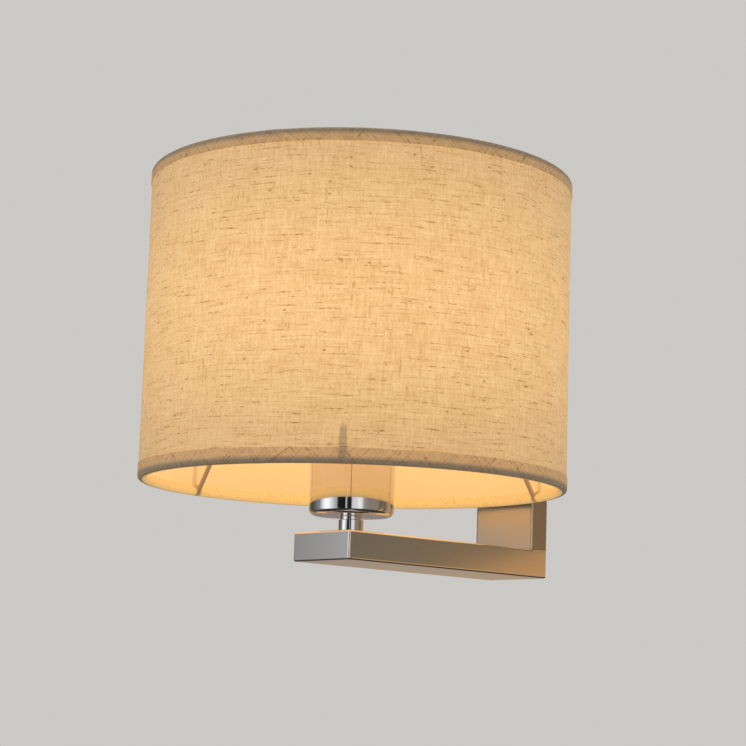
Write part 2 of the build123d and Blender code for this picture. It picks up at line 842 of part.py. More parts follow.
def bulb_outline(inset):
    """Outline of the globe, inset by the glass: neck, hollow curve and ball, tangent throughout."""
    ball_z = bulb_tip + bulb_length - bulb_diameter / 2
    ball = bulb_diameter / 2 - inset
    neck = bulb_neck_diameter / 2 - inset
    neck_z = bulb_tip + bulb_neck_height
    drop = ball_z - neck_z
    outer_ball = bulb_diameter / 2
    outer_neck = bulb_neck_diameter / 2
    hollow = (drop**2 - outer_ball**2 + outer_neck**2) / (2 * (outer_ball - outer_neck))
    hollow_x = outer_neck + hollow
    reach = hollow + inset
    angle = atan2(-drop, hollow_x)
    touch = (ball * cos(angle), 0, ball_z + ball * sin(angle))
    middle = (radians(180) + (angle + radians(180))) / 2
    dip = (hollow_x + reach * cos(middle), 0, neck_z + reach * sin(middle))
    upper = (angle + radians(90)) / 2
    crown = (ball * cos(upper), 0, ball_z + ball * sin(upper))
    return [
        Line((0, 0, cap_top), (neck, 0, cap_top)),
        Line((neck, 0, cap_top), (neck, 0, neck_z)),
        ThreePointArc((neck, 0, neck_z), dip, touch),
        ThreePointArc(touch, crown, (0, 0, ball_z + ball)),
        Line((0, 0, ball_z + ball), (0, 0, cap_top)),
    ]


def bulb_globe():
    """Opal glass, hollow, open at its neck into the cap."""
    outside = revolve(make_face(Wire(bulb_outline(0))), Axis.Z)
    return outside - revolve(make_face(Wire(bulb_outline(bulb_glass))), Axis.Z)


def bulb_cap():
    """Screw cap, its thread drawn as ridges of the thread's own pitch."""
    crest = cap_diameter / 2
    root = crest - cap_thread_depth
    inside = root - cap_wall
    start = cap_shell_bottom + cap_thread_start
    outline = [(inside, cap_shell_bottom), (root - cap_wall / 2, cap_shell_bottom), (root, start)]
    for index in range(cap_thread_turns):
        outline += ridge(root, crest, start + index * cap_thread_pitch, cap_thread_pitch)
    outline += [(crest, cap_top - cap_wall), (crest, cap_top), (inside, cap_top)]
    return turned(outline)


def bulb_insulator():
    """Dark glass cone between the cap's shell and its centre contact."""
    low = bulb_tip + cap_contact_height
    foot = cap_contact_diameter / 2
    shoulder = cap_diameter / 2 - cap_thread_depth - cap_wall
    return turned([(0, low), (foot, low), (shoulder, cap_shell_bottom), (0, cap_shell_bottom)])


def bulb_contact():
    disc = rod(cap_contact_diameter / 2, bulb_tip, bulb_tip + cap_contact_height)
    return fillet(disc.edges().group_by(Axis.Z)[0], cap_contact_height / 2)


def bulb_stem():
    """Clear glass stem in the bulb, flared at the foot where it joins the neck."""
    top = cap_top + glass_stem_height
    flare = glass_stem_flare_diameter / 2
    flare_top = cap_top + glass_stem_flare_height
    half = glass_stem_diameter / 2
    return turned([(0, cap_top), (flare, cap_top), (half, flare_top), (half, top), (0, top)])


def bulb_filament():
    """Support wires and filament, bent from one line over the glass stem."""
    root_z = cap_top + glass_stem_height
    top_z = root_z + filament_height
    points = [
        (-filament_root, 0, root_z),
        (-filament_half_span, 0, top_z),
        (0, 0, top_z + filament_crown),
        (filament_half_span, 0, top_z),
        (filament_root, 0, root_z),
    ]
    wire = swept_wire(points, [filament_bend_radius] * 3, filament_wire_diameter)
    return wire - rod(glass_stem_diameter / 2, cap_top, root_z)


os.makedirs("parts", exist_ok=True)

save("wall_strap", wall_strap())
save("side_screws", side_screws())
save("cable_grommet", cable_grommet())
save("terminal_block", terminal_block())
save("terminal_inserts", terminal_inserts())
save("terminal_screws", terminal_screws())
save("earth_tag", earth_tag())
save("earth_screw", earth_screw())
save("lead_live", lamp_lead(-1))
save("lead_neutral", lamp_lead(1))
save("lead_earth", earth_lead())
save("arm_tube", arm_tube())
save("arm_end_cap", arm_end_cap())
save("wall_plate", wall_plate())

lamp_pieces = {
    "stem_sleeve": stem_sleeve(),
    "stem_collar": stem_collar(),
    "threaded_nipple": threaded_nipple(),
    "lock_washer": lock_washer(),
    "nipple_nut": nipple_nut(),
    "lampholder_cup": lampholder_cup(),
    "lampholder_base": lampholder_base(),
    "lampholder_body": lampholder_body(),
    "contact_insert": contact_insert(),
    "screw_shell": screw_shell(),
    "centre_contact": centre_contact(),
    "side_contact": side_contact(),
    "holder_terminals": holder_terminals(),
    "holder_terminal_screws": holder_terminal_screws(),
    "lower_shade_ring": lower_shade_ring(),
    "upper_shade_ring": upper_shade_ring(),
    "slip_washer": slip_washer(),
    "fitter_ring": fitter_ring(),
    "bottom_wire": bottom_wire(),
    "top_wire": over_the_shade(bottom_wire()),
    "shade_fabric": shade_fabric(),
    "shade_liner": shade_liner(),
    "bottom_binding": bottom_binding(),
    "top_binding": top_binding(),
    "bulb_globe": bulb_globe(),
    "bulb_cap": bulb_cap(),
    "bulb_insulator": bulb_insulator(),
    "bulb_contact": bulb_contact(),
    "bulb_stem": bulb_stem(),
    "bulb_filament": bulb_filament(),
}
for number, azimuth in enumerate(spoke_azimuths, 1):
    lamp_pieces[f"shade_spoke_{number}"] = shade_spoke(azimuth)
for name, piece in lamp_pieces.items():
    save(name, at_lamp(piece))
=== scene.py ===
"""Wall light with a linen drum shade on a polished bracket, lit, seen from below and to its right."""

import bpy
import bmesh
from math import atan2, cos, exp, pi, radians, sin, sqrt, tau
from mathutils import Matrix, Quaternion, Vector, noise


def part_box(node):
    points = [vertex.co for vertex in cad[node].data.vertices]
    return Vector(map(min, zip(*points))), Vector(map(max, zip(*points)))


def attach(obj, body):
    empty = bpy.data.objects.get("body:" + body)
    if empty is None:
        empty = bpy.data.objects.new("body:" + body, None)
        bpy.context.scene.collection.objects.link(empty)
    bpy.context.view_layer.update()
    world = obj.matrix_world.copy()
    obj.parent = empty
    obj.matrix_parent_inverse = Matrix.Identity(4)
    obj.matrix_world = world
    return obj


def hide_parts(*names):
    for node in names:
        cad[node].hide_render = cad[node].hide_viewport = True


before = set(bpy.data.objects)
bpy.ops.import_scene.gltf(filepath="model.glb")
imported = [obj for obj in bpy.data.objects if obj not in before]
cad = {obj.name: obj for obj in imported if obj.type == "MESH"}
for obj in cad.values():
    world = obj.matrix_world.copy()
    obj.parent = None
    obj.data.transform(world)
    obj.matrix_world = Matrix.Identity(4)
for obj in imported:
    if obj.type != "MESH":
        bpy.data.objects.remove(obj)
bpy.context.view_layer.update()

# ---------------------------------------------------------------- studio and camera
# A pale floor far below the lamp, a pale background, and soft lamps to the left, to the right and
# above. The camera stands to the right of the lamp, a little under it, and looks up.

scene = bpy.context.scene
scene.view_settings.view_transform = "Standard"

camera_place = Vector((0.8107, -0.8795, -0.1365))
camera_aim = Vector((-0.7181, 0.6782, 0.1564))
camera_roll = radians(1.816)
camera_lens = 104.4

camera = bpy.data.objects.new("camera", bpy.data.cameras.new("camera"))
camera.data.lens = camera_lens
camera.data.sensor_width = 36.0
camera.data.clip_start = 0.01
camera.location = camera_place
camera.rotation_mode = "QUATERNION"
camera.rotation_quaternion = camera_aim.to_track_quat("-Z", "Y") @ Quaternion((0, 0, 1), camera_roll)
scene.collection.objects.link(camera)
scene.camera = camera


def put(tree, kind, inputs=None, **settings):
    """A shader node with its settings made and each input linked, where a socket is given, or set."""
    node = tree.nodes.new("ShaderNode" + kind)
    for name, value in settings.items():
        setattr(node, name, value)
    for name, value in (inputs or {}).items():
        if isinstance(value, bpy.types.NodeSocket):
            tree.links.new(value, node.inputs[name])
        else:
            node.inputs[name].default_value = value
    return node


def maths(tree, operation, first, second=0.0, third=0.0):
    return put(tree, "Math", {0: first, 1: second, 2: third}, operation=operation).outputs[0]


def blend_colours(tree, share, first, second, blend_type="MIX"):
    node = put(tree, "Mix", {0: share, 6: first, 7: second}, data_type="RGBA", blend_type=blend_type)
    return node.outputs[2]


def rescale(tree, value, low, high, start=0.0, end=1.0, **settings):
    """start where the value is low or less, end where it is high or more, and between them between."""
    return put(tree, "MapRange", {0: value, 1: low, 2: high, 3: start, 4: end}, **settings).outputs[0]


pale_room = (0.60, 0.585, 0.56, 1)
room_light = 0.42
world = bpy.data.worlds.new("room")
world.use_nodes = True
scene.world = world
tree = world.node_tree
tree.nodes.clear()
rays = put(tree, "LightPath").outputs
seen = maths(tree, "MAXIMUM", rays["Is Camera Ray"], rays["Is Glossy Ray"])
seen = maths(tree, "MAXIMUM", seen, rays["Is Transmission Ray"])
strength = rescale(tree, seen, 0.0, 1.0, room_light, 1.0)
background = put(tree, "Background", {"Color": pale_room, "Strength": strength})
tree.links.new(background.outputs[0], put(tree, "OutputWorld").inputs[0])


def softbox(name, place, aim, size, watts, colour):
    light = bpy.data.objects.new(name, bpy.data.lights.new(name, "AREA"))
    light.data.shape = "SQUARE"
    light.data.size = size
    light.data.energy = watts
    light.data.color = colour
    light.location = place
    light.rotation_mode = "QUATERNION"
    light.rotation_quaternion = (Vector(aim) - Vector(place)).to_track_quat("-Z", "Y")
    light.visible_camera = False
    light.visible_glossy = False
    scene.collection.objects.link(light)


lamp_middle = (0, -0.12, 0.03)
softbox("softbox_left", (-0.9, -1.6, 0.7), lamp_middle, 0.9, 9.0, (0.96, 0.98, 1.0))
softbox("softbox_right", (1.5, -0.6, 0.4), lamp_middle, 0.7, 5.0, (1.0, 0.98, 0.95))
softbox("softbox_above", (0.1, 0.3, 1.7), lamp_middle, 1.0, 6.0, (1.0, 1.0, 1.0))


def new_mesh_object(name, mesh):
    piece = bpy.data.objects.new(name, mesh)
    scene.collection.objects.link(piece)
    return piece


def material(name, **settings):
    """A material with its Principled shader, and its constant values set on the shader's own sockets."""
    result = bpy.data.materials.new(name)
    result.use_nodes = True
    shader = result.node_tree.nodes["Principled BSDF"]
    for socket, value in settings.items():
        shader.inputs[socket.replace("_", " ")].default_value = value
    return result, result.node_tree, shader.inputs


def clouds(tree, scale, detail=2.0):
    """Cloudy noise from 0 to 1 over the piece."""
    place = put(tree, "TexCoord").outputs["Object"]
    return put(tree, "TexNoise", {"Vector": place, "Scale": scale, "Detail": detail}).outputs[0]


def mottled(name, dark, light, scale, detail=2.0, relief=0.0, **settings):
    """A material that clouds from a dark to a light colour, with the clouds as its relief in metres."""
    finish, tree, inputs = material(name, **settings)
    cloud = clouds(tree, scale, detail)
    tree.links.new(blend_colours(tree, cloud, (*dark, 1), (*light, 1)), inputs["Base Color"])
    if relief:
        bump = put(tree, "Bump", {"Height": cloud, "Strength": 1.0, "Distance": relief})
        tree.links.new(bump.outputs[0], inputs["Normal"])
    return finish


floor_height = -1.1
floor_radius = 4.0
form = bmesh.new()
bmesh.ops.create_circle(form, cap_ends=True, segments=96, radius=floor_radius)
bmesh.ops.translate(form, vec=(0, 0, floor_height), verts=form.verts)
floor_mesh = bpy.data.meshes.new("floor")
form.to_mesh(floor_mesh)
floor = new_mesh_object("floor", floor_mesh)
paint = mottled("floor_paint", (0.78, 0.76, 0.73), (0.82, 0.80, 0.77), 3.0, 4.0, Roughness=0.9)
floor_mesh.materials.append(paint)

# ------------------------------------------------------------------- light tent
# A wide screen round the lamp, which only polished metal sees: grey cloth with bright panels and dark
# gaps in front, and behind a warm brown side, painted as a wall in the lamp's light, with painted shade
# on it. There a painted pool of lamplight lies low on the cloth under a slanting edge, and a painted
# shadow, the bracket's, lies lower still. Its ground is dark. Angles are in degrees from the X axis.

tent_middle = Vector((0, -0.126, 0))
tent_radius = 1.7
tent_low, tent_high = -1.05, 1.7
# Painted lamplight on the wall: a pool under a slanting edge, with painted shade above the edge.
pool_angle = 47.1
pool_width = 11.0
pool_height = 0.045
pool_slope = 0.0123
pool_blur = 0.010
painted_lamplight_colour = (0.68, 0.37, 0.155)
# A painted shadow: the one the bracket casts on the wall under the lamp.
wall_shadow_angle = 136.0
wall_shadow_width = 24.0
wall_shadow_top = -0.178
wall_shadow_blur = 0.003
painted_wall_shadow_colour = (0.28, 0.245, 0.235)
ground_low, ground_high = tent_low + 0.01, tent_low + 0.15
ground_colour = (0.055, 0.048, 0.042)
form = bmesh.new()
bmesh.ops.create_circle(form, cap_ends=True, segments=96, radius=tent_radius)
rise = bmesh.ops.extrude_edge_only(form, edges=form.edges)["geom"]
wall_top = [vert for vert in rise if isinstance(vert, bmesh.types.BMVert)]
bmesh.ops.translate(form, vec=(0, 0, tent_high - tent_low), verts=wall_top)
bmesh.ops.translate(form, vec=tent_middle + Vector((0, 0, tent_low)), verts=form.verts)
tent_mesh = bpy.data.meshes.new("light_tent")
form.to_mesh(tent_mesh)
tent = new_mesh_object("light_tent", tent_mesh)
for ray in ("camera", "diffuse", "transmission", "volume_scatter", "shadow"):
    setattr(tent, "visible_" + ray, False)
cloth = bpy.data.materials.new("tent_cloth")
cloth.use_nodes = True
tree = cloth.node_tree
tree.nodes.clear()
place = put(tree, "TexCoord").outputs["Object"]
place = put(tree, "VectorMath", {0: place, 1: -tent_middle}, operation="ADD").outputs[0]
turn = put(tree, "TexGradient", {"Vector": place}, gradient_type="RADIAL").outputs[0]
ramp = put(tree, "ValToRGB", {0: turn})
tent_panels = [
    (-180, (0.075, 0.065, 0.05)),
    (-158, (0.15, 0.145, 0.13)),
    (-146, (0.27, 0.27, 0.27)),
    (-139, (0.28, 0.275, 0.28)),
    (-128, (0.90, 0.90, 0.90)),
    (-118, (1.35, 1.35, 1.34)),
    (-108, (1.30, 1.30, 1.28)),
    (-97, (0.90, 0.90, 0.88)),
    (-86, (0.50, 0.50, 0.49)),
    (-82, (0.40, 0.40, 0.39)),
    (-80, (0.02, 0.02, 0.02)),
    (-60, (0.01, 0.01, 0.01)),
    (-58, (0.60, 0.60, 0.59)),
    (-56, (0.60, 0.60, 0.59)),
    (-54, (0.02, 0.02, 0.02)),
    (-44, (0.02, 0.02, 0.02)),
    (-41, (0.80, 0.78, 0.75)),
    (-29, (0.90, 0.88, 0.84)),
    (-21, (1.15, 1.12, 1.09)),
    (-16, (1.00, 0.97, 0.93)),
    (-9, (0.42, 0.38, 0.34)),
    (5, (0.31, 0.25, 0.21)),
    (32, (0.33, 0.26, 0.19)),
    # From 40 to 60 degrees, painted shade on the wall above the pool; from 74 round the back, the wall
    # painted in the lamp's light.
    (40, (0.18, 0.155, 0.115)),
    (44, (0.20, 0.16, 0.11)),
    (48, (0.22, 0.158, 0.093)),
    (60, (0.22, 0.145, 0.082)),
    (74, (0.50, 0.34, 0.19)),
    (120, (0.57, 0.39, 0.22)),
    (150, (0.50, 0.36, 0.22)),
    (180, (0.075, 0.065, 0.05)),
]


def share_of_turn(angle):
    """An angle from -180 to 180 degrees as what the radial gradient gives there, from 0 to 1."""
    return angle / 360 + 0.5


first, last = ramp.color_ramp.elements
first.position, last.position = 0.0, 1.0
for angle, _ in tent_panels[1:-1]:
    ramp.color_ramp.elements.new(share_of_turn(angle))
for element, (_, colour) in zip(ramp.color_ramp.elements, tent_panels):
    element.color = (*colour, 1)
height = put(tree, "SeparateXYZ", {0: place}).outputs[2]
pool_start = pool_height - pool_slope * (pool_angle + 180)
above_pool = maths(tree, "SUBTRACT", height, maths(tree, "MULTIPLY_ADD", turn, pool_slope * 360, pool_start))
painted_lamplight = rescale(tree, above_pool, -pool_blur, pool_blur, 1.0, 0.0)
sides = maths(tree, "COMPARE", turn, share_of_turn(pool_angle), pool_width / 2 / 360)
cloth_colour = blend_colours(tree, maths(tree, "MULTIPLY", painted_lamplight, sides), ramp.outputs[0], (*painted_lamplight_colour, 1))
painted_wall_shadow = rescale(tree, height, wall_shadow_top - wall_shadow_blur, wall_shadow_top + wall_shadow_blur, 1.0, 0.0)
sides = maths(tree, "COMPARE", turn, share_of_turn(wall_shadow_angle), wall_shadow_width / 2 / 360)
cloth_colour = blend_colours(tree, maths(tree, "MULTIPLY", painted_wall_shadow, sides), cloth_colour, (*painted_wall_shadow_colour, 1))
ground = rescale(tree, height, ground_low, ground_high, 1.0, 0.0)
cloth_colour = blend_colours(tree, ground, cloth_colour, (*ground_colour, 1))
glow = put(tree, "Emission", {"Color": cloth_colour})
tree.links.new(glow.outputs[0], put(tree, "OutputMaterial").inputs[0])
tent_mesh.materials.append(cloth)

# ---------------------------------------------------------------------- bracket
# Arm, end cap and wall plate: folded steel, welded, ground and chrome plated, so the joints don't
# show. The polish is nearly even, with faint wiping marks and a trace of the grinding under it.


def node_group(name, inputs, outputs):
    """A shader node group with the named sockets: (tree, group input node, group output node)."""
    tree = bpy.data.node_groups.new(name, "ShaderNodeTree")
    for (label, kind, value) in inputs:
        socket = tree.interface.new_socket(label, in_out="INPUT", socket_type="NodeSocket" + kind)
        if value is not None:
            socket.default_value = value
    for (label, kind) in outputs:
        tree.interface.new_socket(label, in_out="OUTPUT", socket_type="NodeSocket" + kind)
    return tree, tree.nodes.new("NodeGroupInput").outputs, tree.nodes.new("NodeGroupOutput").inputs


def place_group(tree, group, inputs=None):
    return put(tree, "Group", inputs, node_tree=group).outputs


tree, taken, given = node_group(
    "polish_marks",
    [("Roughness", "Float", 0.1), ("Spread", "Float", 0.03), ("Grain", "Vector", None)],
    [("Roughness", "Float"), ("Height", "Float")],
)
place = put(tree, "TexCoord").outputs["Object"]
wiping = clouds(tree, 45.0, 3.0)
grain_place = put(tree, "VectorMath", {0: place, 1: taken["Grain"]}, operation="MULTIPLY").outputs[0]
grain = put(tree, "TexNoise", {"Vector": grain_place, "Scale": 1.0, "Detail": 2.0}).outputs[0]
both = maths(tree, "ADD", maths(tree, "MULTIPLY", wiping, 0.6), maths(tree, "MULTIPLY", grain, 0.4))
offset = maths(tree, "MULTIPLY", maths(tree, "SUBTRACT", both, 0.5), taken["Spread"])
tree.links.new(maths(tree, "ADD", taken["Roughness"], offset), given["Roughness"])
tree.links.new(grain, given["Height"])
polish_marks = tree


def polished_metal(name, colour, roughness, spread, grain, depth):
    """Plated metal with faint polishing marks. grain is the marks' number per metre along X, Y and Z."""
    metal, tree, inputs = material(name, Metallic=1.0)
    marks = place_group(tree, polish_marks, {"Roughness": roughness, "Spread": spread, "Grain": grain})
    duller = tuple(share * 0.94 for share in colour)
    tree.links.new(blend_colours(tree, clouds(tree, 18.0), (*duller, 1), (*colour, 1)), inputs["Base Color"])
    tree.links.new(marks["Roughness"], inputs["Roughness"])
    bump = put(tree, "Bump", {"Height": marks["Height"], "Strength": 1.0, "Distance": depth})
    tree.links.new(bump.outputs[0], inputs["Normal"])
    return metal


merge_reach = 0.000002
crease = radians(32)


def put_on_bracket(form, name, node, finish):
    """Puts a shape in the place of one of the bracket's CAD nodes, sharp only along its creases."""
    for face in form.faces:
        face.smooth = True
    for edge in form.edges:
        edge.smooth = edge.is_boundary or edge.calc_face_angle(0.0) < crease
    mesh = bpy.data.meshes.new(name)
    form.to_mesh(mesh)
    mesh.materials.append(finish)
    piece = new_mesh_object(name, mesh)
    piece.modifiers.new("even light", "WEIGHTED_NORMAL").keep_sharp = True
    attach(piece, "bracket")
    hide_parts(node)


def weld_copy(node, finish):
    """The CAD shape as one welded skin, so that the light runs evenly over its rounded edges."""
    form = bmesh.new()
    form.from_mesh(cad[node].data)
    bmesh.ops.remove_doubles(form, verts=form.verts, dist=merge_reach)
    put_on_bracket(form, node + "_skin", node, finish)


arm_chrome = polished_metal("arm_chrome", (0.80, 0.79, 0.77), 0.11, 0.04, (2600, 260, 2600), 0.0000015)
# The plate's metal colour is tinted warm: a painted reflection of the lamp-lit shade and wall.
plate_chrome_painted_warm = polished_metal("plate_chrome_painted_warm", (0.60, 0.545, 0.46), 0.31, 0.08, (1800, 1800, 120), 0.0000015)
weld_copy("arm_tube", arm_chrome)
weld_copy("arm_end_cap", arm_chrome)
weld_copy("wall_plate", plate_chrome_painted_warm)

# ------------------------------------------------------------------ cup and stem
# Drawn brass cup with a little draft, a rounded lower edge and a burnished lip, and two turned bushes
# under it with their corners eased. All are plated to a mirror and slipped over the hollow bolt.

turning_steps = 192
cup_wall = 0.0008
cup_draft = 0.0104
draft_height = 0.008
cup_edge = 0.003
cup_lip = 0.00025
bolt_hole = 0.00515
bush_corner = 0.00025


def corner(radius, height, size, first, last):
    """Points round a corner of a section with its centre at (radius, height), between two angles."""
    steps = 10
    angles = [radians(first + (last - first) * step / steps) for step in range(steps + 1)]
    return [(radius + size * cos(angle), height + size * sin(angle)) for angle in angles]


def turned_piece(node, section, finish):
    """A piece turned about the lamp's axis from its closed section of (radius, height) points."""
    low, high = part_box(node)
    form = bmesh.new()
    points = [form.verts.new((radius, 0, height)) for radius, height in section]
    lines = [form.edges.new(ends) for ends in zip(points, points[1:] + points[:1])]
    bmesh.ops.spin(form, geom=points + lines, axis=(0, 0, 1), angle=tau, steps=turning_steps,
                   use_merge=True)
    bmesh.ops.remove_doubles(form, verts=form.verts, dist=merge_reach)
    bmesh.ops.recalc_face_normals(form, faces=form.faces)
    bmesh.ops.translate(form, vec=((low.x + high.x) / 2, (low.y + high.y) / 2, 0), verts=form.verts)
    put_on_bracket(form, node + "_turned", node, finish)


def cup_section():
    low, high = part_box("lampholder_cup")
    outer, bottom, top = (high.x - low.x) / 2, low.z, high.z
    inner, floor, inner_edge = outer - cup_wall, bottom + cup_wall, cup_edge - cup_wall
    section = [(bolt_hole, bottom)] + corner(outer - cup_edge, bottom + cup_edge, cup_edge, -90, 0)
    section += corner(outer - cup_lip, top - cup_lip, cup_lip, 0, 90)
    section += corner(inner + cup_lip, top - cup_lip, cup_lip, 90, 180)
    section += corner(inner - inner_edge, floor + inner_edge, inner_edge, 0, -90) + [(bolt_hole, floor)]
    wall_from = outer / 2
    return [(r + (h - bottom - draft_height) * cup_draft * (r > wall_from), h) for r, h in section]


def bush_section(name):
    low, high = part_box(name)
    outer, bottom, top = (high.x - low.x) / 2, low.z, high.z
    side = outer - bush_corner
    section = [(bolt_hole, bottom)] + corner(side, bottom + bush_corner, bush_corner, -90, 0)
    return section + corner(side, top - bush_corner, bush_corner, 0, 90) + [(bolt_hole, top)]


mirror_chrome = polished_metal("cup_chrome", (0.73, 0.735, 0.78), 0.03, 0.02, (300, 300, 3000), 0.0000004)
turned_piece("lampholder_cup", cup_section(), mirror_chrome)
for bush in ("stem_sleeve", "stem_collar"):
    turned_piece(bush, bush_section(bush), mirror_chrome)

# ---------------------------------------------------------------- light of the bulb
# Painted light of the bulb, put into the emission of the film, the linen and the tape. The glow is
# strongest at the bulb's height and weaker towards the rims, and a painted shadow lies on the shade
# behind each spoke's foot.

fabric_low, fabric_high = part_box("shade_fabric")
lamp_axis = Vector(((fabric_low.x + fabric_high.x) / 2, (fabric_low.y + fabric_high.y) / 2, 0))
shade_radius = (fabric_high.x - fabric_low.x) / 2
rim_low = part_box("bottom_binding")[0].z
rim_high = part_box("top_binding")[1].z
bulb_height = 0.060
shadow_height = 0.0184
shadow_half_widths = (0.0024, 0.0017)


def spoke_azimuth(name):
    """Where round the lamp a spoke meets the rim: the direction of its outermost points."""
    points = [vert.co - lamp_axis for vert in cad[name].data.vertices]
    reach = max(point.xy.length for point in points)
    foot = sum((point for point in points if point.xy.length > reach - 0.0005), Vector())
    return atan2(foot.y, foot.x)


spoke_azimuths = [spoke_azimuth(name) for name in ("shade_spoke_1", "shade_spoke_2", "shade_spoke_3")]

tree, taken, given = node_group("bulb_glow", [("Spoke shadow", "Float", 0.5)], [("Glow", "Float")])
place = put(tree, "TexCoord").outputs["Object"]
place = put(tree, "VectorMath", {0: place, 1: -lamp_axis}, operation="ADD").outputs[0]
axes = put(tree, "SeparateXYZ", {0: place}).outputs
rise = maths(tree, "DIVIDE", maths(tree, "SUBTRACT", axes["Z"], bulb_height), shade_radius)
spread = maths(tree, "ADD", maths(tree, "MULTIPLY", rise, rise), 1.0)
falloff = maths(tree, "POWER", spread, -0.88)
turn = maths(tree, "ARCTAN2", axes["Y"], axes["X"])
nearest = pi
for azimuth in spoke_azimuths:
    away = maths(tree, "PINGPONG", maths(tree, "SUBTRACT", turn, azimuth), pi)
    nearest = maths(tree, "MINIMUM", away, nearest)
beside_spoke = maths(tree, "MULTIPLY", nearest, shade_radius)
above_rim = maths(tree, "SUBTRACT", axes["Z"], rim_low)
half_width = rescale(tree, above_rim, 0.0, shadow_height, *shadow_half_widths)
core = maths(tree, "DIVIDE", beside_spoke, half_width)
core = rescale(tree, core, 0.5, 1.3, 1.0, 0.0, interpolation_type="SMOOTHSTEP")
top = rescale(tree, above_rim, shadow_height - 0.003, shadow_height + 0.002, 1.0, 0.0,
              interpolation_type="SMOOTHSTEP")
shadow = maths(tree, "MULTIPLY", maths(tree, "MULTIPLY", core, top), taken["Spoke shadow"])
tree.links.new(maths(tree, "MULTIPLY", falloff, maths(tree, "SUBTRACT", 1.0, shadow)), given["Glow"])
bulb_glow = tree

# ------------------------------------------------------------------------ linen
# Plain weave of uneven natural yarns. A yarn is thicker here and thinner there, more light comes
# through the gaps beside it, and slubs, short thick brown stretches, lie along some of the yarns.


def yarn_noise(tree, along, across, seed, detail):
    """Noise from 0 to 1 over a place that is drawn out along the yarns."""
    place = put(tree, "CombineXYZ", {0: along, 1: across, 2: seed}).outputs[0]
    return put(tree, "TexNoise", {"Vector": place, "Scale": 1.0, "Detail": detail}).outputs[0]


tree, taken, given = node_group(
    "yarns",
    [("Across", "Float", 0.0), ("Along", "Float", 0.0), ("Yarn", "Float", 0.0008), ("Seed", "Float", 0.0),
     ("Length", "Float", 1.0)],
    [("Index", "Float"), ("Tone", "Float"), ("Cover", "Float"), ("Round", "Float"), ("Slub", "Float")],
)
row = maths(tree, "DIVIDE", taken["Across"], taken["Yarn"])
index = maths(tree, "FLOOR", row)
tree.links.new(index, given["Index"])
side = maths(tree, "ABSOLUTE", maths(tree, "MULTIPLY_ADD", maths(tree, "FRACT", row), 2.0, -1.0))
along = maths(tree, "DIVIDE", taken["Along"], taken["Length"])
strand = maths(tree, "MULTIPLY", index, 5.37)
tone = yarn_noise(tree, maths(tree, "MULTIPLY", along, 70.0), strand, taken["Seed"], 3.0)
tone = rescale(tree, tone, 0.25, 0.75)
tree.links.new(tone, given["Tone"])
gap = maths(tree, "SUBTRACT", side, maths(tree, "MULTIPLY_ADD", tone, 0.35, 0.60))
tree.links.new(rescale(tree, gap, 0.0, 0.25, 1.0, 0.0), given["Cover"])
tree.links.new(maths(tree, "SUBTRACT", 1.0, maths(tree, "MULTIPLY", side, side)), given["Round"])
lane = maths(tree, "MULTIPLY", taken["Across"], 1000.0)
lines = yarn_noise(tree, maths(tree, "MULTIPLY", along, 48.0), lane, taken["Seed"], 2.0)
lines = maths(tree, "POWER", rescale(tree, lines, 0.46, 0.84), 1.9)
next_lane = maths(tree, "ADD", lane, 50.0)
cores = yarn_noise(tree, maths(tree, "MULTIPLY", along, 360.0), next_lane, taken["Seed"], 1.0)
cores = rescale(tree, cores, 0.42, 0.76, 0.20, 3.0)
tree.links.new(maths(tree, "MULTIPLY", lines, cores), given["Slub"])
yarns = tree

tree, taken, given = node_group(
    "linen_weave",
    [("Place", "Vector", None), ("Yarn", "Float", 0.0008), ("Warp slubs", "Float", 0.5)],
    [("Through", "Float"), ("Tone", "Float"), ("Slub", "Float"), ("Height", "Float")],
)


def flat_noise(tree, place, scale, detail):
    return put(tree, "TexNoise", {"Vector": place, "Scale": scale, "Detail": detail}, noise_dimensions="2D")


wander = (0.0012, 0.0012, 0)
knots_per_metre = (100, 170, 1)
strays = flat_noise(tree, taken["Place"], 25.0, 1.0).outputs[1]
drift = put(tree, "VectorMath", {0: strays, 1: wander, 2: taken["Place"]}, operation="MULTIPLY_ADD")
axes = put(tree, "SeparateXYZ", {0: drift.outputs[0]}).outputs
weft = place_group(tree, yarns, {"Across": axes["Y"], "Along": axes["X"], "Yarn": taken["Yarn"]})
warp = place_group(tree, yarns, {"Across": axes["X"], "Along": axes["Y"], "Yarn": taken["Yarn"],
                                 "Seed": 7.3, "Length": 0.45})
fuzz = flat_noise(tree, taken["Place"], 1000.0, 2.0).outputs[0]
patches = flat_noise(tree, taken["Place"], 60.0, 3.0).outputs[0]
knot_place = put(tree, "VectorMath", {0: taken["Place"], 1: knots_per_metre}, operation="MULTIPLY").outputs[0]
knots = put(tree, "TexVoronoi", {"Vector": knot_place, "Scale": 1.0}, voronoi_dimensions="2D").outputs
chance = put(tree, "SeparateColor", {0: knots["Color"]}).outputs[0]
knot_size = rescale(tree, chance, 0.82, 1.0, 0.0001, 0.13)
knot = rescale(tree, maths(tree, "DIVIDE", knots["Distance"], knot_size), 0.3, 1.0, 0.8, 0.0)
slub = maths(tree, "MAXIMUM", weft["Slub"], maths(tree, "MULTIPLY", warp["Slub"], taken["Warp slubs"]))
slub = maths(tree, "MAXIMUM", slub, knot)
tree.links.new(slub, given["Slub"])
over = maths(tree, "ABSOLUTE", maths(tree, "MODULO", maths(tree, "ADD", weft["Index"], warp["Index"]), 2.0))
tree.links.new(put(tree, "Mix", {0: over, 2: weft["Tone"], 3: warp["Tone"]}).outputs[0], given["Tone"])
through = maths(tree, "MULTIPLY", maths(tree, "MULTIPLY_ADD", weft["Cover"], -0.16, 1.0),
                maths(tree, "MULTIPLY_ADD", warp["Cover"], -0.12, 1.0))
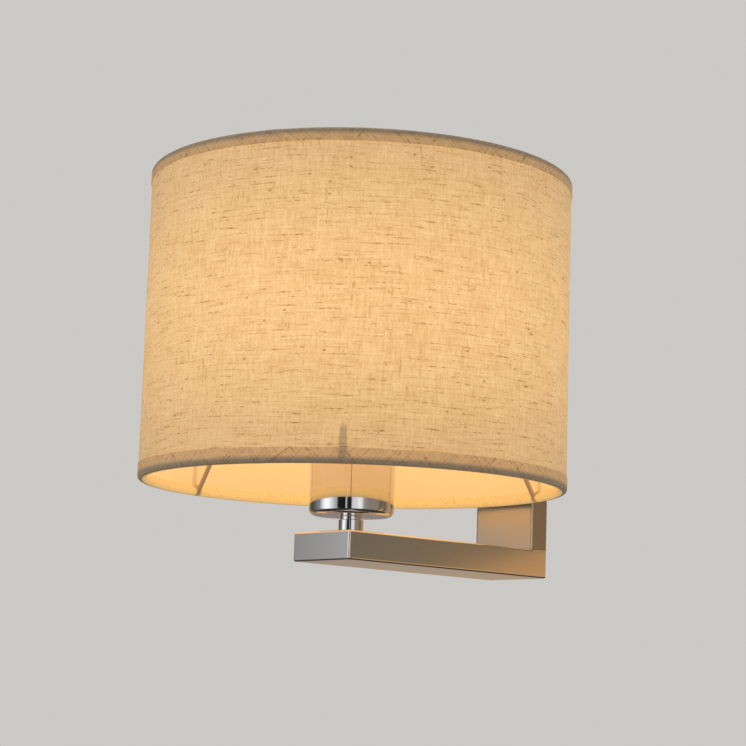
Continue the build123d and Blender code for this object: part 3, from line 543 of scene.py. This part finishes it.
for part, share in ((weft["Tone"], -0.12), (warp["Tone"], -0.13), (fuzz, -0.15), (patches, -0.09)):
    through = maths(tree, "MULTIPLY_ADD", part, share, through)
tree.links.new(through, given["Through"])
height = put(tree, "Mix", {0: over, 2: weft["Round"], 3: warp["Round"]}).outputs[0]
tree.links.new(maths(tree, "MULTIPLY_ADD", slub, 0.6, height), given["Height"])
linen_weave = tree


def linen_cloth(name, bias, warp_slubs, depth):
    """Unlit linen: material, tree, shader inputs and weave. bias turns the weave on the piece's UV map."""
    cloth, tree, inputs = material(name, Roughness=0.92, Emission_Strength=1.22, Specular_IOR_Level=0.2,
                                   Sheen_Weight=0.6, Sheen_Roughness=0.5, Sheen_Tint=(1.0, 0.84, 0.62, 1))
    flat_place = put(tree, "Mapping", {"Vector": put(tree, "UVMap").outputs[0], "Rotation": (0, 0, bias)})
    weave = place_group(tree, linen_weave, {"Place": flat_place.outputs[0], "Warp slubs": warp_slubs})
    plain = blend_colours(tree, weave["Tone"], (0.42, 0.315, 0.21, 1), (0.52, 0.40, 0.275, 1))
    tree.links.new(blend_colours(tree, weave["Slub"], plain, (0.22, 0.13, 0.065, 1)), inputs["Base Color"])
    bump = put(tree, "Bump", {"Height": weave["Height"], "Strength": 1.0, "Distance": depth})
    tree.links.new(bump.outputs[0], inputs["Normal"])
    return cloth, tree, inputs, weave


def light_through(tree, weave, thick, thin, brown):
    """The colour that light takes on its way through the weave."""
    share = rescale(tree, weave["Through"], 0.38, 0.88)
    plain = blend_colours(tree, share, (*thick, 1), (*thin, 1))
    return blend_colours(tree, weave["Slub"], plain, (*brown, 1))


# ------------------------------------------------------------------ shade panel
# Linen laminated on film, cut straight, rolled into a drum and glued where its end laps over its start,
# at the back. It stands from one rim wire to the other.

black = (0, 0, 0, 1)


def rolled_cloth(name, length, width, columns, rows, place, thickness, fold=0.0, slant=0.0, slits=()):
    """A flat strip with its UV map in metres, bent to place(along, across) and then given its thickness.
    across is 0 at the fold, and the strip's ends slant by so much along for each metre across. A slit
    is (its middle along the strip, its half width, where across it starts)."""
    form = bmesh.new()
    bmesh.ops.create_grid(form, x_segments=columns, y_segments=rows, size=0.5)
    bmesh.ops.scale(form, vec=(length, width, 1), verts=form.verts)
    bmesh.ops.translate(form, vec=(length / 2, width / 2 - fold, 0), verts=form.verts)
    for vert in form.verts:
        vert.co.x += slant * vert.co.y
    for middle, half_width, start in slits:
        for spot in (middle - half_width, middle + half_width):
            bmesh.ops.bisect_plane(form, geom=form.verts[:] + form.edges[:] + form.faces[:],
                                   plane_co=(spot, 0, 0), plane_no=(1, 0, 0))
        centres = [(face, face.calc_center_median()) for face in form.faces]
        gap = [face for face, centre in centres if abs(centre.x - middle) < half_width and centre.y > start]
        bmesh.ops.delete(form, geom=gap, context="FACES")
    flat_map = form.loops.layers.uv.new("flat")
    for face in form.faces:
        face.smooth = True
        for loop in face.loops:
            loop[flat_map].uv = loop.vert.co.xy
    for vert in form.verts:
        vert.co = place(vert.co.x, vert.co.y)
    mesh = bpy.data.meshes.new(name)
    form.to_mesh(mesh)
    piece = new_mesh_object(name, mesh)
    wall = piece.modifiers.new("thickness", "SOLIDIFY")
    wall.thickness = thickness
    wall.offset = -1.0
    return piece


def soft_step(value, low, high):
    """0 up to the low value, 1 from the high one, and an even curve between them."""
    share = min(max((value - low) / (high - low), 0.0), 1.0)
    return share * share * (3 - 2 * share)


def round_the_lamp(radius, azimuth, height):
    return Vector((lamp_axis.x + radius * cos(azimuth), lamp_axis.y + radius * sin(azimuth), height))


panel_thickness = 0.0005
ripple_depth = 0.00012
lap = 0.012
lap_rise = 0.004
seam_azimuth = radians(100)
panel_low, panel_high = fabric_low.z, fabric_high.z
panel_length = tau * shade_radius + lap
panel_width = panel_high - panel_low


def panel_place(along, across):
    azimuth = seam_azimuth + along / shade_radius
    ripple = ripple_depth * noise.noise(Vector((3 * cos(azimuth), 3 * sin(azimuth), across * 14)))
    lift = 1.1 * panel_thickness * soft_step(along, panel_length - lap - lap_rise, panel_length - lap)
    return round_the_lamp(shade_radius + ripple + lift, azimuth, panel_low + across)


panel = rolled_cloth("linen_panel", panel_length, panel_width, 360, 30, panel_place, panel_thickness)
linen, tree, inputs, weave = linen_cloth("linen", 0.0, 0.5, 0.00012)
# Its emission is painted light: the bulb's light coming through the weave, with painted spoke shadows.
light = light_through(tree, weave, (0.505, 0.247, 0.050), (0.93, 0.655, 0.325), (0.26, 0.09, 0.0))
glow = place_group(tree, bulb_glow, {"Spoke shadow": 0.55})["Glow"]
tree.links.new(blend_colours(tree, glow, black, light), inputs["Emission Color"])
panel.data.materials.append(linen)
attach(panel, "shade")
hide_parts("shade_fabric")

# --------------------------------------------------------------------- bindings
# Bias-cut tape of the same linen, its weave at 45 degrees, folded and glued round each rim: one leg
# outside, a turn round the wire, one leg inside. Its slanting ends lap in front, and the lower one is
# slit where the spokes leave the wire, with its lips a little proud.

tape_thickness = 0.0004
outside_leg = {"bottom": 0.0075, "top": 0.0065}
inside_leg = 0.0070
joint_azimuth = radians(-67.6)
joint_lap = 0.005
joint_rise = 0.002
joint_slant = -1.5
slit_half_width = 0.0008
slit_start = 0.0022
lip_depth = 0.0006
waver_depth = 0.00035
swell_depth = 0.00012
waver_start = 0.004
lip_start, lip_end = 0.002, 0.006
lip_reach = 0.002
tape_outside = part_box("bottom_binding")[1].x - lamp_axis.x
wire_low, wire_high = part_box("bottom_wire")
wire_radius = (wire_high.z - wire_low.z) / 2
wire_circle = (wire_high.x - wire_low.x) / 2 - wire_radius
liner_inside = shade_radius - 0.00102
round_out = wire_radius + tape_thickness
bend_step = pi / 16
tape_length = tau * shade_radius + joint_lap


def fold_line(outside):
    """The tape's section as (radius, height above the rim): its outside leg and the turn down to the
    fold, and the turn up from the fold with its inside leg."""
    outer, inner, inside = tape_outside - round_out, wire_circle, liner_inside - tape_thickness
    down = [bend_step * step for step in range(9)]
    up = [bend_step * step for step in range(15)]
    before = [(tape_outside, outside)]
    before += [(outer + round_out * cos(angle), round_out * (1 - sin(angle))) for angle in down]
    after = [(inner - round_out * sin(angle), round_out * (1 - cos(angle))) for angle in up]
    return before, after + [(inside, round_out * 3), (inside, inside_leg)]


def line_length(points):
    return sum(sqrt((a[0] - b[0]) ** 2 + (a[1] - b[1]) ** 2) for a, b in zip(points, points[1:]))


def on_line(points, distance):
    """The point at a distance along a line, or its last point."""
    for (r0, h0), (r1, h1) in zip(points, points[1:]):
        step = sqrt((r1 - r0) ** 2 + (h1 - h0) ** 2)
        if distance <= step:
            return r0 + distance / step * (r1 - r0), h0 + distance / step * (h1 - h0)
        distance -= step
    return points[-1]


def from_spoke(azimuth):
    """The distance along the rim from the nearest spoke."""
    return shade_radius * min(abs((azimuth - spoke + pi) % tau - pi) for spoke in spoke_azimuths)


def tape_place(name, section, fold):
    """Where a point of the tape lies, once it is folded round its rim along the section."""
    rim, upright, seed = (rim_low, 1, 3.1) if name == "bottom" else (rim_high, -1, 8.7)
    lap_start = tape_length - joint_lap

    def place(along, across):
        azimuth = joint_azimuth + along / shade_radius
        radius, height = on_line(section, across + fold)
        spot = Vector((9 * cos(azimuth), 9 * sin(azimuth), seed))
        waver = waver_depth * noise.noise(spot) * soft_step(height, waver_start, inside_leg)
        swell = swell_depth * noise.noise(spot * 3 + Vector((across * 300, 0, 0)))
        lift = tape_thickness * soft_step(along - joint_slant * across, lap_start - joint_rise, lap_start)
        radius += (swell + lift) * (1 if across < 0 else -1)
        if name == "bottom" and across > lip_start:
            beside_slit = exp(-(from_spoke(azimuth) / lip_reach) ** 2)
            radius -= lip_depth * beside_slit * soft_step(across, lip_start, lip_end)
        return round_the_lamp(radius, azimuth, rim + upright * (height + waver))

    return place


tape, tree, inputs, weave = linen_cloth("bias_tape", radians(45), 1.1, 0.0001)
along, across, _ = put(tree, "SeparateXYZ", {0: put(tree, "UVMap").outputs[0]}).outputs
before_end = maths(tree, "SUBTRACT", tape_length, maths(tree, "MULTIPLY_ADD", across, -joint_slant, along))
# At the joint, painted light and shade: a dark line of painted shadow along the cut end, and two bright lines
# where its threads catch the bulb's light.
edge_shadow_line, lit_thread_line, next_lit_thread_line = (0.0003, 0.0004), (0.0014, 0.0004), (0.0029, 0.0003)
edge_shadow = maths(tree, "COMPARE", before_end, *edge_shadow_line)
lit_thread = maths(tree, "COMPARE", before_end, *lit_thread_line)
next_lit_thread = maths(tree, "COMPARE", before_end, *next_lit_thread_line)
joint_light = maths(tree, "MULTIPLY_ADD", maths(tree, "ADD", lit_thread, next_lit_thread), 0.40, 1.0)
joint_light = maths(tree, "MULTIPLY_ADD", edge_shadow, -0.45, joint_light)
glow = maths(tree, "MULTIPLY", place_group(tree, bulb_glow, {"Spoke shadow": 0.65})["Glow"], joint_light)
height = put(tree, "SeparateXYZ", {0: put(tree, "TexCoord").outputs["Object"]}).outputs[2]
# Painted light in the tape: the outside leg glows with the bulb's light coming through, fading out towards
# the turn, where the wire is in the way, and a little less on the upper tape; the inside leg glows brighter,
# as in the bulb's own light.
outside = maths(tree, "MULTIPLY", rescale(tree, across, -0.0049, -0.0029, 1.0, 0.0),
                rescale(tree, height, 0.0, 0.12, 1.0, 0.8))
inside = rescale(tree, across, 0.0002, 0.0010)
through_light = light_through(tree, weave, (0.335, 0.135, 0.020), (0.67, 0.40, 0.150), (0.10, 0.025, 0.0))
inner_light = light_through(tree, weave, (0.80, 0.46, 0.125), (0.86, 0.52, 0.155), (0.72, 0.40, 0.095))
light = blend_colours(tree, inside, blend_colours(tree, outside, black, through_light), inner_light)
tree.links.new(blend_colours(tree, glow, black, light), inputs["Emission Color"])

for name in ("bottom", "top"):
    before, after = fold_line(outside_leg[name])
    fold = line_length(before)
    tape_width = fold + line_length(after)
    slits = ()
    if name == "bottom":
        slits = [((azimuth - joint_azimuth) % tau * shade_radius, slit_half_width, slit_start)
                 for azimuth in spoke_azimuths]
    folded = tape_place(name, before + after[1:], fold)
    binding = rolled_cloth(name + "_tape", tape_length, tape_width, 360, 40, folded, tape_thickness,
                           fold, joint_slant, slits)
    if name == "bottom":
        binding.data.flip_normals()
    binding.data.materials.append(tape)
    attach(binding, "shade")
    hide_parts(name + "_binding")

# ------------------------------------------------------------------- shade liner
# White plastic film, glued to the inside of the linen, which it stiffens. Its emission is painted light:
# it glows a little cloudily in the bulb's light, with painted shadows of the spokes.


def dress(finish, *names):
    """Gives CAD nodes their finish."""
    for name in names:
        for slot in cad[name].material_slots:
            slot.material = finish


film, tree, inputs = material("liner_film", Roughness=0.45, Emission_Strength=1.0)
glow = place_group(tree, bulb_glow, {"Spoke shadow": 0.45})["Glow"]
cloud = clouds(tree, 35.0, 3.0)
light = maths(tree, "MULTIPLY", glow, maths(tree, "MULTIPLY_ADD", cloud, 0.10, 0.95))
tree.links.new(blend_colours(tree, light, black, (0.82, 0.435, 0.138, 1)), inputs["Emission Color"])
tree.links.new(blend_colours(tree, cloud, (0.60, 0.52, 0.40, 1), (0.64, 0.56, 0.44, 1)), inputs["Base Color"])
dress(film, "shade_liner")

# ----------------------------------------------------------- wire frame of the shade
# Three spokes, welded to the lower rim wire and the fitter ring, and the upper rim wire on its own. All
# are steel, dipped in off-white enamel.

enamel = mottled("white_wire", (0.46, 0.40, 0.31), (0.56, 0.49, 0.39), 260.0, 4.0, relief=0.00003,
                 Roughness=0.35, Coat_Weight=0.3)
dress(enamel, "shade_spoke_1", "shade_spoke_2", "shade_spoke_3", "bottom_wire", "top_wire", "fitter_ring")

# ------------------------------------------------------------------ lampholder
# Heat-proof white mouldings: the holder in two halves, the threaded rings that clamp the shade, and a
# washer. Inside, a steatite disc carries brass contacts, the screw shell and the terminals.

moulding = mottled("holder_plastic", (0.76, 0.74, 0.69), (0.84, 0.82, 0.78), 90.0, 5.0, relief=0.00002,
                   Roughness=0.38)
dress(moulding, "lampholder_base", "lampholder_body", "upper_shade_ring", "lower_shade_ring", "slip_washer")

steatite = mottled("steatite", (0.78, 0.74, 0.66), (0.88, 0.85, 0.79), 900.0, 3.0, Roughness=0.7)
dress(steatite, "contact_insert")

brass = polished_metal("brass", (0.78, 0.60, 0.30), 0.25, 0.12, (900, 900, 900), 0.000004)
dress(brass, "screw_shell", "centre_contact", "side_contact", "holder_terminals",
      "holder_terminal_screws")

# -------------------------------------------------------------------- wall fixing
# Zinc-plated steel strap, earth tag, screws, nipple, washer and nut, two chromed screws through the
# plate's sides, a rubber grommet for the supply cable, and a nylon terminal block with brass barrels.

zinc = polished_metal("zinc_steel", (0.62, 0.62, 0.60), 0.34, 0.18, (700, 700, 120), 0.000006)
dress(arm_chrome, "side_screws")
dress(zinc, "wall_strap", "earth_screw", "earth_tag", "terminal_screws", "threaded_nipple",
      "lock_washer", "nipple_nut")

rubber = mottled("grommet_rubber", (0.018, 0.018, 0.018), (0.05, 0.05, 0.048), 300.0, 4.0, Roughness=0.75)
dress(rubber, "cable_grommet")

nylon = mottled("block_nylon", (0.74, 0.72, 0.66), (0.82, 0.80, 0.75), 150.0, 3.0, Roughness=0.5,
                Subsurface_Weight=0.15)
dress(nylon, "terminal_block")
dress(brass, "terminal_inserts")

# ------------------------------------------------------------------------- leads
# Insulated single leads. The brown and the blue one run from the terminal block to the lampholder, and a
# short green one with a broad yellow stripe runs to the earth tag.

for slot_name, node_name, dark, light in (
    ("lead_brown", "lead_live", (0.10, 0.04, 0.02), (0.16, 0.07, 0.035)),
    ("lead_blue", "lead_neutral", (0.02, 0.09, 0.34), (0.03, 0.13, 0.44)),
):
    dress(mottled(slot_name, dark, light, 500.0, 3.0, Roughness=0.42), node_name)

sleeve, tree, inputs = material("lead_green", Roughness=0.42)
sideways = put(tree, "SeparateXYZ", {0: put(tree, "TexCoord").outputs["Object"]}).outputs[0]
yellow_from = 0.0002
stripe = maths(tree, "GREATER_THAN", sideways, yellow_from)
green, yellow = (0.03, 0.22, 0.05, 1), (0.75, 0.62, 0.03, 1)
tree.links.new(blend_colours(tree, stripe, green, yellow), inputs["Base Color"])
dress(sleeve, "lead_earth")

# -------------------------------------------------------------------------- bulb
# Opal glass globe, lit, on a nickel-plated screw cap with a dark glass insulator under it, and a clear
# glass stem with its filament inside.

opal, tree, inputs = material("opal_glass", Roughness=0.12, Emission_Strength=1.6, Coat_Weight=0.5)
height = put(tree, "SeparateXYZ", {0: put(tree, "TexCoord").outputs["Object"]}).outputs[2]
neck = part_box("bulb_globe")[0].z
share = rescale(tree, height, neck + 0.012, neck + 0.045)
neck_light, globe_light = (0.55, 0.27, 0.08, 1), (1.0, 0.74, 0.42, 1)
tree.links.new(blend_colours(tree, share, neck_light, globe_light), inputs["Emission Color"])
tree.links.new(blend_colours(tree, share, (0.80, 0.78, 0.74, 1), (0.88, 0.87, 0.84, 1)), inputs["Base Color"])
dress(opal, "bulb_globe")

nickel = polished_metal("cap_metal", (0.72, 0.70, 0.66), 0.28, 0.12, (500, 500, 1500), 0.000004)
dress(nickel, "bulb_cap", "bulb_contact")

dark_glass = mottled("dark_glass", (0.01, 0.01, 0.02), (0.04, 0.03, 0.06), 200.0, Roughness=0.15)
dress(dark_glass, "bulb_insulator")

clear_glass = mottled("clear_glass", (0.94, 0.96, 0.94), (1, 1, 1), 120.0, Roughness=0.02,
                      Transmission_Weight=1.0, IOR=1.5)
dress(clear_glass, "bulb_stem")

filament = polished_metal("filament_metal", (0.50, 0.48, 0.45), 0.35, 0.10, (2000, 2000, 2000), 0.000002)
dress(filament, "bulb_filament")
